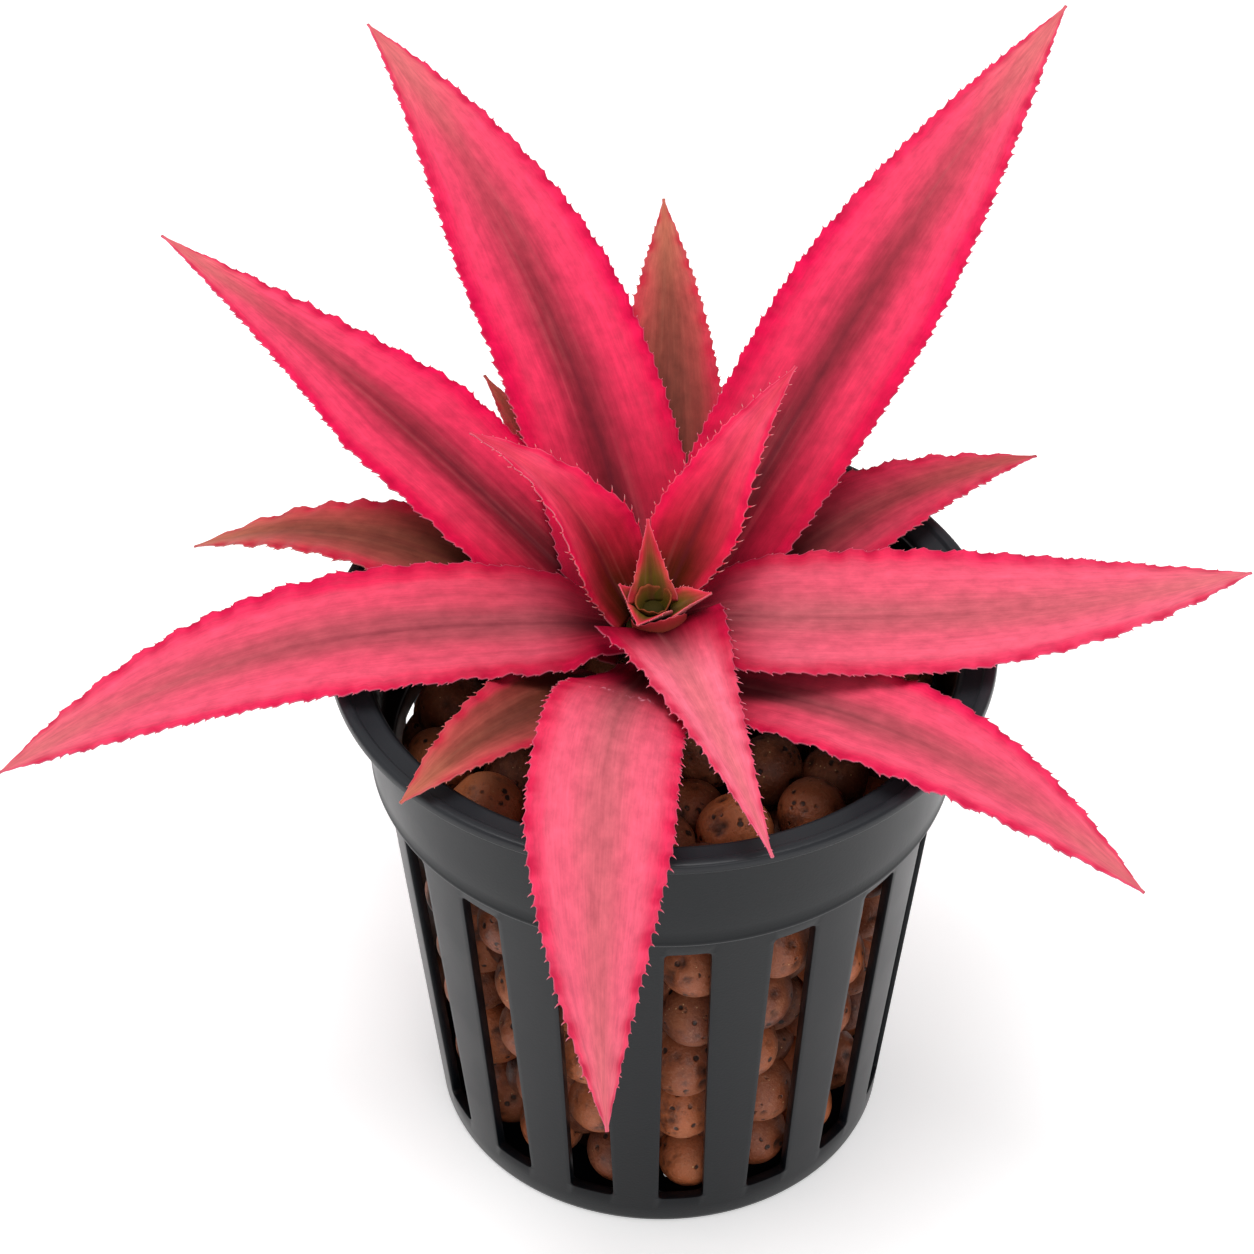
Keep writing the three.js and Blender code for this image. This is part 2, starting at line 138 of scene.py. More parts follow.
# Leaves
NECK_LENGTH = 11.0
CUP_LENGTH = 22.0
CHANNEL_POWER = 1.6
SWEEP_POWER = 1.5
ROLL_SHARE = 0.3
FULL_HALF_WIDTH = 4.0
TIP_HALF_WIDTH = 0.25
STATION_STEP = 0.36
COLUMNS = 22
GROOVE_DEPTH = 0.16
GROOVE_HALF_WIDTH = 1.1
MIDDLE_THICKNESS = 0.75
EDGE_THICKNESS = 0.22
WAVE_HEIGHT = 0.32
WAVE_LENGTH = 6.2
TOOTH_PITCH = 1.9
TOOTH_HEIGHT = 0.5
TOOTH_DROP = 0.28
FIRST_TOOTH = 2.0
LAST_TOOTH = 0.6
SPINE_LENGTH = 0.6
SPINE_RADIUS = 0.14
SPINE_INSET = 0.12

# Rolled cup and low lobe among the four heart leaves
CUP_RADIUS = 1.4
CUP_THICKNESS = 0.22
CUP_FOOT = 94.3
CUP_HEIGHT = 1.7
LOBE_RADIUS = 4.3
LOBE_THICKNESS = 0.24
LOBE_FOOT = 93.4
LOBE_FROM_DEG = -140
LOBE_TURN_DEG = 118

# Floor and lights; a light is (place, size, power)
FLOOR_HALF_WIDTH = 3000.0
FLOOR_GLOW = 0.38
WORLD_LIGHT = 0.46
LIGHT_AIM = (0, 0, 60)
LIGHTS = {
    "top_box": ((-60, 40, 900), 500, 5.0),
    "front_box": ((260, -900, 620), 500, 2.4),
    "left_box": ((-900, -100, 500), 600, 1.0),
}

# neck to taper give the outline, cup and channel how far the margins rise near
# the foot and beyond it, per millimetre of half width
# fade_and_light: how much paler a whole leaf is painted, partly faded colour and partly painted
# light from the front
PLAIN_LEAF = dict(
    sweep=0, settle=0.12, bend_from=0.12, bend_to=1, neck=0.5, shoulder=0.8, broadest=0.4,
    taper=1.5, cup=0, channel=0.12, roll=0, look="pink", fade_and_light=0.0, spine=0.8, scars=(),
    pale_from=0.4)
HEART_LEAF = dict(
    neck=0.8, shoulder=1, broadest=0.15, taper=1, cup=0.5, channel=0.4, look="heart", spine=0.9)

# Each leaf has these, then what differs from PLAIN_LEAF. Angles are in degrees
LEAF_COLUMNS = ("heading", "seat", "foot_rise", "rise", "tip_rise", "length", "width")
LEAVES = {
    "leaf_back_stub": ((113, 82.4, 7, 16, 4, 60, 9.8), dict(sweep=5, look="olive")),
    "leaf_front_left_short": ((-134, 83.6, 8, 24, -6, 49, 15.6), dict(
        sweep=5, taper=1.4, roll=-3, look="olive")),
    "leaf_back": ((87, 84.1, 8, 16, 10, 88, 18.4), dict(sweep=6, roll=2, look="olive")),
    "leaf_left_short": ((153, 84.9, 8, 15, -31, 77.5, 17.4), dict(
        sweep=4, broadest=0.45, taper=1.6, roll=2, look="olive")),
    "leaf_right_short": ((38.5, 85.3, 8, 16, -16, 71.5, 17.6), dict(
        sweep=-2, taper=1.4, roll=4, look="rose")),
    "leaf_front_right": ((-33, 84.4, 6, 15, -19, 80, 21), dict(
        sweep=-4, shoulder=0.74, broadest=0.45, roll=-4, fade_and_light=0.3)),
    "leaf_left_rear": ((134.5, 86.8, 8, 15, 3, 108, 23.4), dict(
        sweep=1, broadest=0.48, taper=0.95, roll=2)),
    "leaf_front_hanging": ((-101, 87, 14, 33, -59, 92, 20.8), dict(
        sweep=21, bend_to=0.86, broadest=0.54, taper=1.3, channel=-0.02, roll=-12, fade_and_light=0.6,
        spine=1.1, scars=((17.5, 1.1, 0.55),))),
    "leaf_rear_left_tall": ((101, 88.6, 7, 14, 24, 120, 24.6), dict(
        sweep=33, shoulder=0.85, broadest=0.51, taper=1.7, channel=0.14, roll=4)),
    "leaf_rear_right_tall": ((60, 90.2, 4, 23, 19, 125, 24.3), dict(
        sweep=-5, settle=0.2, bend_from=0.2, shoulder=0.7, broadest=0.47, channel=0.14, roll=7)),
    "leaf_left_long": ((184.5, 91, 13, 3, -29, 96, 24.8), dict(
        sweep=8, bend_from=0.08, broadest=0.37, taper=2, channel=0.1, roll=-4, fade_and_light=0.3,
        pale_from=0.15)),
    "leaf_right_long": ((-1, 92.1, 14, -1, 3, 85, 26.2), dict(
        sweep=18, shoulder=0.87, broadest=0.37, taper=1.7, channel=0.1, roll=3, fade_and_light=0.5,
        pale_from=0.2)),
    "leaf_front_short": ((-73, 93.2, 18, 7, -4, 53.5, 19.4), dict(
        settle=0.2, bend_from=0.2, neck=0.95, shoulder=1, broadest=0.05, taper=0.85, cup=0.25,
        channel=0.11, roll=-11, fade_and_light=0.95, spine=1.4, pale_from=0.3)),
    "leaf_inner_left": ((147, 92, 43, 62, 12, 37, 17), dict(
        sweep=9, settle=0.25, bend_from=0.23, neck=0.75, shoulder=0.83, broadest=0.33, taper=0.93,
        cup=0.3, channel=0.31, roll=6, look="inner", spine=1.6)),
    "leaf_inner_right": ((58, 93.2, 43, 40, 14, 42, 13.2), dict(
        sweep=-2, settle=0.25, bend_from=0.24, neck=0.75, shoulder=0.75, broadest=0.34, taper=1,
        cup=0.25, channel=0.26, roll=7, look="inner", spine=1.6)),
    "leaf_heart_front": ((-106, 94.4, 52, 36, 24, 7, 7.6), HEART_LEAF),
    "leaf_heart_right": ((-6, 93.6, 45, 42, 35, 7.6, 8.2), HEART_LEAF),
    "leaf_heart_left": ((158, 93.2, 58, 62, 56, 5, 6.2), HEART_LEAF),
    "leaf_heart_back": ((97, 94.6, 60, 66, 62, 12.2, 7.2), dict(
        HEART_LEAF, neck=0.95, broadest=0.08, taper=0.92, channel=0.3)),
}


def ease(x):
    """Goes smoothly from 0 to 1 as x does."""
    x = np.clip(x, 0, 1)
    return x * x * (3 - 2 * x)


def linear(*rgb255):
    """A colour as seen on a screen, from 0 to 255, as linear light with alpha."""
    share = np.array(rgb255) / 255
    light = np.where(share <= 0.04045, share / 12.92, ((share + 0.055) / 1.055) ** 2.4)
    return (*(float(v) for v in light), 1.0)


# Meshes

def add_object(name, places, faces, material, attributes=None, smooth=True):
    """A mesh object from places in millimetres, with float attributes on its points."""
    mesh = bpy.data.meshes.new(name)
    mesh.from_pydata((np.asarray(places) * MM).tolist(), [], [list(map(int, f)) for f in faces])
    for key, values in (attributes or {}).items():
        layer = mesh.attributes.new(key, "FLOAT", "POINT")
        layer.data.foreach_set("value", np.asarray(values, dtype=np.float32))
    mesh.polygons.foreach_set("use_smooth", [smooth] * len(mesh.polygons))
    mesh.materials.append(material)
    mesh.update()
    piece = bpy.data.objects.new(name, mesh)
    bpy.context.scene.collection.objects.link(piece)
    return piece


def place_piece(piece, node):
    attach(piece, BODY)
    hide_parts(node)


def grid_faces(rows, columns, first=0, flip=False):
    """The quads of a grid of points that are numbered row by row."""
    row, column = np.meshgrid(np.arange(rows - 1), np.arange(columns - 1), indexing="ij")
    a = (first + row * columns + column).ravel()
    quads = np.stack([a, a + columns, a + columns + 1, a + 1], axis=1)
    return quads[:, ::-1] if flip else quads


def turn_of(count):
    """The angles of that many points spaced alike round a ring."""
    return np.arange(count) * math.tau / count


def ring_rows(angle, x, reach, *rest):
    """A ring of points about x: where each lies sideways and in depth, then the rest."""
    columns = (x + reach * np.cos(angle), reach * np.sin(angle), *rest)
    return np.stack(np.broadcast_arrays(*columns), axis=1)


def ring_faces(starts, columns, around=True):
    """The quads between rings of points, each ring given by the number of its first point."""
    faces = []
    for a, b in zip(starts, starts[1:]):
        for k in range(columns if around else columns - 1):
            after = (k + 1) % columns
            faces.append((a + k, a + after, b + after, b + k))
    return faces


def end_faces(columns, count):
    """The first and the last ring of a tube of count points, as a face each."""
    return [tuple(reversed(range(columns))), tuple(range(count - columns, count))]


# Materials

class Surface:
    """A procedural material. Most methods add a node and give back its output."""

    def __init__(self, name):
        self.material = bpy.data.materials.new(name)
        self.material.use_nodes = True
        self.nodes = self.material.node_tree.nodes
        self.links = self.material.node_tree.links
        self.nodes.clear()

    def add(self, kind, inputs, **settings):
        """Adds a node, with values or other nodes' outputs for its inputs."""
        node = self.nodes.new("ShaderNode" + kind)
        for key, value in settings.items():
            setattr(node, key, value)
        for key, value in inputs.items():
            if isinstance(value, bpy.types.NodeSocket):
                self.links.new(value, node.inputs[key])
            else:
                node.inputs[key].default_value = value
        return node

    def attribute(self, name):
        return self.add("Attribute", {}, attribute_name=name).outputs["Fac"]

    def math(self, operation, *values):
        return self.add("Math", dict(enumerate(values)), operation=operation).outputs[0]

    def times(self, a, b):
        return self.math("MULTIPLY", a, b)

    def times_plus(self, a, b, c):
        return self.math("MULTIPLY_ADD", a, b, c)

    def step(self, value, low, high, to_low=0.0, to_high=1.0):
        """Goes smoothly from to_low to to_high as value goes from low to high."""
        inputs = {"Value": value, "From Min": low, "From Max": high, "To Min": to_low,
                  "To Max": to_high}
        return self.add("MapRange", inputs, interpolation_type="SMOOTHSTEP").outputs["Result"]

    def vector(self, *xyz):
        return self.add("CombineXYZ", dict(enumerate(xyz))).outputs[0]

    def object_place(self):
        return self.add("TexCoord", {}).outputs["Object"]

    def noise(self, vector, scale, detail=3.0, roughness=0.5):
        inputs = {"Vector": vector, "Scale": scale, "Detail": detail, "Roughness": roughness}
        return self.add("TexNoise", inputs).outputs["Fac"]

    def cells(self, vector, scale):
        """Distance to the nearest of many scattered points."""
        return self.add("TexVoronoi", {"Vector": vector, "Scale": scale}).outputs["Distance"]

    def mix(self, share, a, b, blend="MIX"):
        inputs = {0: share, 6: a, 7: b}
        return self.add("Mix", inputs, data_type="RGBA", blend_type=blend).outputs[2]

    def ramp(self, value, stops):
        """A colour that passes through the (position, red, green, blue) stops."""
        node = self.add("ValToRGB", {0: value})
        elements = node.color_ramp.elements
        while len(elements) < len(stops):
            elements.new(0.5)
        for element, (position, *rgb255) in zip(elements, stops):
            element.position = position
            element.color = linear(*rgb255)
        return node.outputs["Color"]

    def bump(self, height, distance, strength):
        inputs = {"Height": height, "Distance": distance, "Strength": strength}
        return self.add("Bump", inputs).outputs["Normal"]

    def shade(self, color, roughness, **others):
        """Finishes the material. An underscore in a name stands for a space."""
        inputs = {key.replace("_", " "): value for key, value in others.items()}
        inputs.update({"Base Color": color, "Roughness": roughness})
        shader = self.add("BsdfPrincipled", inputs)
        self.add("OutputMaterial", {"Surface": shader.outputs["BSDF"]})
        return self.material


# A painted highlight along the leaf margins
EDGE_HIGHLIGHT = linear(250, 160, 172)
PALE_SPINE = linear(236, 190, 176)
SILVER = linear(196, 160, 154)
DEEP_CRIMSON = linear(200, 6, 62)
# Pale colours for leaf sides and bands: partly faded colour, partly painted light from the front
FADED_AND_LIT = linear(250, 138, 142)
FADED_AND_LIT_BAND = linear(236, 138, 132)
GREY_OLIVE = linear(150, 104, 88)
DARK_RIB = linear(84, 24, 34)
PALE_SCAR = linear(255, 196, 190)

# reach: between which shares of the half width the middle band fades out. The
# colours are (share of the length, red, green, blue), and tint lies over them all.
# Each look darkens towards the leaf's foot: partly the leaves' own darker colour,
# partly painted shade deep in the rosette
LOOKS = {
    "pink": dict(
        slot="leaf_pink", reach=(0.02, 0.6), tint=(0.86, 0.6, 0.83, 1.0),
        band=((0.0, 84, 16, 24), (0.2, 104, 26, 32), (0.36, 136, 42, 50), (0.55, 164, 58, 66),
              (0.76, 206, 88, 94), (0.94, 226, 136, 120)),
        side=((0.0, 130, 16, 38), (0.2, 196, 34, 62), (0.36, 232, 58, 88), (0.55, 246, 72, 102),
              (0.8, 247, 92, 112), (0.94, 232, 136, 122)),
        margin=((0.0, 150, 12, 44), (0.2, 204, 22, 62), (0.36, 228, 18, 74), (0.55, 240, 22, 84),
                (0.94, 236, 70, 98))),
    "rose": dict(
        slot="leaf_olive", reach=(0.05, 0.7), tint=(0.84, 0.6, 0.72, 1.0),
        band=((0.0, 52, 22, 20), (0.3, 98, 44, 42), (0.6, 150, 66, 68), (0.94, 196, 104, 94)),
        side=((0.0, 76, 22, 28), (0.3, 150, 44, 60), (0.65, 204, 62, 86), (0.94, 206, 96, 96)),
        margin=((0.0, 120, 20, 44), (0.3, 206, 34, 76), (0.94, 222, 70, 96))),
    "olive": dict(
        slot="leaf_olive", reach=(0.1, 0.8), tint=(0.82, 0.68, 0.62, 1.0),
        band=((0.0, 48, 20, 12), (0.3, 92, 50, 36), (0.55, 123, 68, 59), (0.76, 146, 80, 70),
              (0.94, 200, 124, 104)),
        side=((0.0, 62, 22, 18), (0.3, 118, 50, 44), (0.55, 160, 72, 70), (0.76, 204, 92, 94),
              (0.94, 206, 124, 110)),
        margin=((0.0, 100, 20, 32), (0.3, 190, 42, 72), (0.6, 206, 56, 84), (0.94, 206, 96, 98))),
    "inner": dict(
        slot="leaf_pink", reach=(0.02, 0.6), tint=(0.92, 0.74, 0.84, 1.0),
        band=((0.0, 52, 30, 8), (0.15, 82, 28, 12), (0.3, 138, 34, 40), (0.5, 194, 54, 72),
              (0.72, 226, 74, 96), (0.94, 216, 64, 86)),
        side=((0.0, 74, 26, 10), (0.15, 118, 28, 26), (0.3, 186, 34, 56), (0.5, 228, 50, 84),
              (0.72, 232, 80, 106), (0.94, 222, 66, 92)),
        margin=((0.0, 120, 40, 30), (0.15, 184, 40, 56), (0.3, 226, 24, 72), (0.5, 240, 36, 86),
                (0.94, 224, 50, 88))),
    "heart": dict(
        slot="leaf_heart", reach=(0.2, 0.8), tint=(0.95, 0.74, 0.84, 1.0),
        band=((0.0, 60, 60, 14), (0.3, 98, 92, 28), (0.55, 124, 84, 40), (0.78, 178, 70, 62),
              (0.94, 222, 70, 84)),
        side=((0.0, 74, 66, 20), (0.3, 120, 92, 40), (0.6, 196, 72, 66), (0.94, 228, 66, 84)),
        margin=((0.0, 150, 84, 48), (0.3, 226, 92, 84), (0.94, 238, 50, 84))),
}


def leaf_material(name, leaf, seed):
    """Striped and streaked leaf skin, from where each point lies on its leaf."""
    look = LOOKS[leaf["look"]]
    skin = Surface(name)
    share = skin.attribute("across")
    along = skin.attribute("along_mm")
    s = skin.attribute("along")
    edge = skin.attribute("edge_mm")
    lateral = skin.times(share, leaf["width"] / 2)

    def stretched(across_scale, along_scale, shift, detail, roughness=0.5):
        place = skin.vector(skin.times(lateral, across_scale),
                            skin.times(along, along_scale), seed + shift)
        return skin.noise(place, 1.0, detail, roughness)

    # Slow drift of the stripes, and streaks drawn out along the leaf
    drift = stretched(0.14, 0.05, 0.0, 3.0)
    streak = stretched(0.7, 0.022, 7.0, 3.0)
    fine = stretched(3.4, 0.16, 13.0, 3.0, 0.6)
    mottle = stretched(0.5, 0.3, 23.0, 4.0, 0.6)
    out = skin.math("ABSOLUTE", share)
    out = skin.times_plus(skin.math("SUBTRACT", drift, 0.5), 0.34, out)
    out = skin.times_plus(skin.math("SUBTRACT", streak, 0.5), 0.22, out)

    near, far = look["reach"]
    band_share = skin.step(out, near, far, 1.0, 0.0)
    margin_share = skin.step(out, 0.62, 0.94)
    side = skin.ramp(s, look["side"])
    # The side that faces the front is the paler one: partly faded colour, partly painted light
    # from the front
    front = skin.times(share, -math.cos(math.radians(leaf["heading"])))
    pale = skin.step(front, -0.2, 1.1, 0.0, 0.16)
    pale = skin.times(skin.math("ADD", pale, leaf["fade_and_light"]),
                      skin.step(s, 0.04, leaf["pale_from"]))
    side = skin.mix(pale, side, FADED_AND_LIT)
    # Whole leaves paled by fade_and_light, most those at the front: partly faded colour, partly
    # painted light from the front
    fade_and_light = skin.step(s, 0.04, leaf["pale_from"], 0.0, min(1.2 * leaf["fade_and_light"], 1.0))
    band = skin.mix(fade_and_light, skin.ramp(s, look["band"]), FADED_AND_LIT_BAND)
    color = skin.mix(band_share, side, band)
    margin_share = skin.times(margin_share, skin.times_plus(pale, -0.45, 1.0))
    color = skin.mix(margin_share, color, skin.ramp(s, look["margin"]))

    # Streaks of grey-olive in the band, deeper colour in the dips of the margin
    grey = skin.times(band_share, skin.step(streak, 0.48, 0.7, 0.0, 0.25))
    color = skin.mix(grey, color, GREY_OLIVE)
    dips = skin.times(skin.step(skin.attribute("wave"), 0.3, -0.7),
                     skin.step(edge, 2.6, 0.2))
    color = skin.mix(skin.times(dips, 0.6), color, DEEP_CRIMSON)
    gain = skin.times_plus(fine, 0.4, 0.8)
    gain = skin.times(gain, skin.times_plus(mottle, 0.8, 0.6))
    gain = skin.times(gain, skin.times_plus(streak, 0.4, 0.8))
    color = skin.mix(1.0, color, gain, "MULTIPLY")

    # Midrib, pale edge line (a painted highlight along the margins), spines and the silvery
    # underside
    rib = skin.times(skin.step(skin.math("ABSOLUTE", lateral), 0.8, 0.0),
                    skin.step(s, 0.75, 0.3))
    color = skin.mix(skin.times(rib, 0.4 * (1.0 - leaf["fade_and_light"])), color, DARK_RIB)
    # Painted highlight along the margins
    color = skin.mix(skin.step(edge, 0.2, 0.02, 0.0, 0.28), color, EDGE_HIGHLIGHT)
    color = skin.mix(skin.step(skin.attribute("spine"), 0.15, 0.9, 0.0, 0.8), color, PALE_SPINE)
    scurf = skin.noise(skin.vector(lateral, skin.times(along, 0.5), seed + 3.0), 2.6)
    under = skin.times(skin.attribute("under"), skin.step(scurf, 0.25, 0.6, 0.4, 0.75))
    color = skin.mix(under, color, SILVER)

    for at, reach, strength in leaf["scars"]:
        wander = skin.noise(skin.vector(lateral, 0.0, seed + at), 0.9, 4.0)
        wander = skin.times_plus(wander, 8.0, at - 4.0)
        line = skin.math("ABSOLUTE", skin.math("SUBTRACT", along, wander))
        broken = skin.step(stretched(0.9, 0.6, 31.0 + at, 4.0, 0.7), 0.5, 0.64)
        line = skin.times(skin.step(line, reach, 0.05), broken)
        color = skin.mix(skin.times(line, strength), color, PALE_SCAR)
    color = skin.mix(1.0, color, look["tint"], "MULTIPLY")
    height = skin.times_plus(fine, 0.6, skin.times(streak, 0.4))
    normal = skin.bump(height, 0.00005, 0.6)
    rough = skin.step(streak, 0.2, 0.8, 0.42, 0.54)
    return skin.shade(color, rough, Normal=normal, Specular_IOR_Level=0.04)


def pebble_material():
    clay = Surface("fired_clay")
    place = clay.object_place()
    tone = clay.attribute("tone")
    patches = clay.noise(place, 230.0, 4.0, 0.6)
    grain = clay.noise(place, 1900.0, 3.0, 0.65)
    color = clay.ramp(tone, ((0.0, 66, 32, 22), (0.5, 122, 60, 32), (1.0, 190, 104, 60)))
    color = clay.mix(clay.step(patches, 0.46, 0.66, 0.0, 0.5), color, linear(158, 94, 60))
    color = clay.mix(clay.step(patches, 0.46, 0.3, 0.0, 0.7), color, linear(62, 28, 18))
    color = clay.mix(clay.step(grain, 0.52, 0.75, 0.0, 0.35), color, linear(176, 124, 96))
    color = clay.mix(clay.step(grain, 0.45, 0.25, 0.0, 0.4), color, linear(60, 28, 18))
    # Small open pores and the larger pits that are modelled, painted near black as shade in the
    # holes, and pale flecks, partly glassy grains and partly painted glints
    pores = clay.times(clay.step(clay.cells(place, 480.0), 0.27, 0.17),
                      clay.step(clay.noise(place, 330.0), 0.48, 0.56))
    dark = clay.math("MAXIMUM", pores, clay.attribute("pit"))
    color = clay.mix(clay.times(dark, 0.92), color, linear(20, 9, 6))
    # Pale flecks: partly glassy grains, partly painted glints
    fleck_glint = clay.times(clay.step(clay.cells(place, 900.0), 0.13, 0.07),
                      clay.step(patches, 0.5, 0.58))
    color = clay.mix(clay.times(fleck_glint, 0.8), color, linear(222, 184, 132))
    height = clay.times_plus(pores, -1.5, grain)
    normal = clay.bump(height, 0.0003, 0.6)
    rough = clay.step(patches, 0.35, 0.65, 0.42, 0.68)
    return clay.shade(color, rough, Normal=normal, Specular_IOR_Level=0.45)


def plastic_material():
    plastic = Surface("pot_plastic")
    place = plastic.object_place()
    cloud = plastic.noise(place, 45.0, 4.0, 0.6)
    grain = plastic.noise(place, 2600.0, 2.0)
    color = plastic.ramp(cloud, ((0.3, 5, 8, 12), (0.7, 10, 14, 19)))
    # The rim's top is painted lighter grey, a painted sheen where it faces up, and two moulded
    # edges get thin painted highlight lines
    height = plastic.add("SeparateXYZ", {0: place}).outputs["Z"]
    rim_sheen = plastic.step(height, (FLANGE_Z + 0.2) * MM, (POT_HEIGHT - 0.8) * MM, 0.0, 0.4)
    color = plastic.mix(rim_sheen, color, linear(58, 59, 63))
    # Thin painted highlight lines along the collar's foot and the flange
    for level, reach, strength in ((LEDGE_Z, 0.26, 0.7), (FLANGE_Z, 0.2, 0.5)):
        away = plastic.math("ABSOLUTE", plastic.math("SUBTRACT", height, level * MM))
        line = plastic.step(away, reach * MM, 0.0, 0.0, strength)
        color = plastic.mix(line, color, linear(150, 152, 154))
    normal = plastic.bump(grain, 0.00003, 0.5)
    rough = plastic.step(cloud, 0.3, 0.7, 0.3, 0.38)
    return plastic.shade(color, rough, Normal=normal, Specular_IOR_Level=0.22)


def stem_material():
    bark = Surface("stem")
    place = bark.object_place()
    rings = bark.noise(place, 420.0, 4.0, 0.6)
    color = bark.ramp(rings, ((0.3, 62, 40, 22), (0.7, 120, 92, 52)))
    color = bark.mix(bark.attribute("tip"), color, linear(50, 42, 8))
    normal = bark.bump(rings, 0.0003, 0.6)
    return bark.shade(color, 0.8, Normal=normal, Specular_IOR_Level=0.1)


# Leaves

def stem_radius(z):
    share = np.clip((z - STEM_SHOULDER) / (STEM_TOP - STEM_SHOULDER), 0, 1)
    return STEM_RADIUS + (STEM_TIP_RADIUS - STEM_RADIUS) * share


def spine_of(leaf, s):
    """Places along a leaf's middle, with the directions across it and up from it."""
    start = math.radians(leaf["heading"])
    foot = stem_radius(leaf["seat"]) + SEAT_GAP
    first = np.array([PLANT_X + foot * math.cos(start), foot * math.sin(start), leaf["seat"]])

    def heading(share):
        return np.radians(leaf["heading"] + leaf["sweep"] * share ** SWEEP_POWER)

    def along(share):
        bend = ease((share - leaf["bend_from"]) / (leaf["bend_to"] - leaf["bend_from"]))
        slope = np.radians(
            leaf["foot_rise"] + (leaf["rise"] - leaf["foot_rise"]) * ease(share / leaf["settle"])
            + (leaf["tip_rise"] - leaf["rise"]) * bend)
        turn = heading(share)
        return np.stack([np.cos(slope) * np.cos(turn), np.cos(slope) * np.sin(turn),
                         np.sin(slope)], axis=1)

    middles = (s[1:] + s[:-1]) / 2
    steps = along(middles) * (np.diff(s) * leaf["length"])[:, None]
    places = first + np.vstack([np.zeros(3), np.cumsum(steps, axis=0)])
    forward = along(s)
    turn = heading(s)
    level = np.stack([-np.sin(turn), np.cos(turn), np.zeros_like(turn)], axis=1)
    upright = np.cross(forward, level)
    roll = np.radians(leaf["roll"]) * ease(s / ROLL_SHARE)
    across = level * np.cos(roll)[:, None] + upright * np.sin(roll)[:, None]
    return places, across, np.cross(forward, across), forward


def half_width(leaf, s):
    """Half the leaf's width, from neck over shoulder and broadest place to the tip."""
    outer = np.clip((s - leaf["broadest"]) / (1 - leaf["broadest"]), 0, 1)
    inner = np.minimum(s / leaf["broadest"], 1)
    blade = np.where(
        s < leaf["broadest"],
        leaf["shoulder"] + (1 - leaf["shoulder"]) * np.sin(inner * math.pi / 2),
        1 - outer ** leaf["taper"])
    neck_end = min(NECK_LENGTH, leaf["length"] / 2)
    neck = leaf["neck"] + (1 - leaf["neck"]) * ease(s * leaf["length"] / neck_end)
    return np.maximum(leaf["width"] / 2 * blade * neck, TIP_HALF_WIDTH)


def teeth_along(leaf, random):
    """Where the teeth of one margin point, as millimetres along the leaf."""
    places = []
    x = FIRST_TOOTH + TOOTH_PITCH * random.random()
    pitch = min(TOOTH_PITCH, leaf["length"] / 8)
    while x < leaf["length"] - LAST_TOOTH:
        places.append(x)
        x += pitch * (0.7 + 0.6 * random.random())
    return np.array(places)


def tooth_outline(x, teeth, small):
    """How far a margin stands out at x: each tooth leans to the tip and drops steeply."""
    after = np.clip(np.searchsorted(teeth, x), 0, len(teeth) - 1)
    before = np.clip(after - 1, 0, len(teeth) - 1)
    gap = np.maximum(teeth[after] - teeth[before], 1.0)
    rise = np.clip(1 - (teeth[after] - x) / gap, 0, 1) ** 1.7
    fall = np.clip(1 - (x - teeth[before]) / (TOOTH_DROP * gap), 0, 1)
    return (np.maximum(rise, fall) - 0.45) * TOOTH_HEIGHT * small


def margin_wave(x, random):
    """Uneven waves along one margin, from -1 to 1."""
    phase = math.tau * random.random()
    wander = 1.1 * np.sin(x / 11.0 + 6 * random.random())
    wander += 0.7 * np.sin(x / 4.7 + 3 * random.random())
    swell = 0.75 + 0.35 * np.sin(x / 17.0 + 6 * random.random())
    return swell * np.sin(math.tau * x / WAVE_LENGTH + phase + wander)


def spine_cones(places, outward, forward, lengths):
    """Small cones that leave a margin outward and hook towards the leaf's tip."""
    sides = 5
    rings = ((0.0, 1.0, 0.0), (0.45, 0.62, 0.22), (0.8, 0.3, 0.62))
    points, faces, shares = [], [], []
    up = np.cross(forward, outward)
    for place, out, ahead, rise, length in zip(places, outward, forward, up, lengths):
        first = len(points)
        radius = SPINE_RADIUS * min(1.0, length / SPINE_LENGTH + 0.2)
        for reach, width, lean in rings:
            centre = place + length * (reach * out + (0.35 * reach + lean * 0.5) * ahead)
            for k in range(sides):
                angle = math.tau * k / sides
                points.append(centre + radius * width
                              * (1.5 * math.cos(angle) * ahead + math.sin(angle) * rise))
                shares.append(reach)
        points.append(place + length * (0.95 * out + 0.85 * ahead))
        shares.append(1.0)
        last = first + (len(rings) - 1) * sides
        faces += ring_faces(range(first, last + 1, sides), sides)
        for k in range(sides):
            faces.append((last + k, last + (k + 1) % sides, len(points) - 1))
        faces.append(tuple(first + k for k in reversed(range(sides))))
    return points, faces, shares


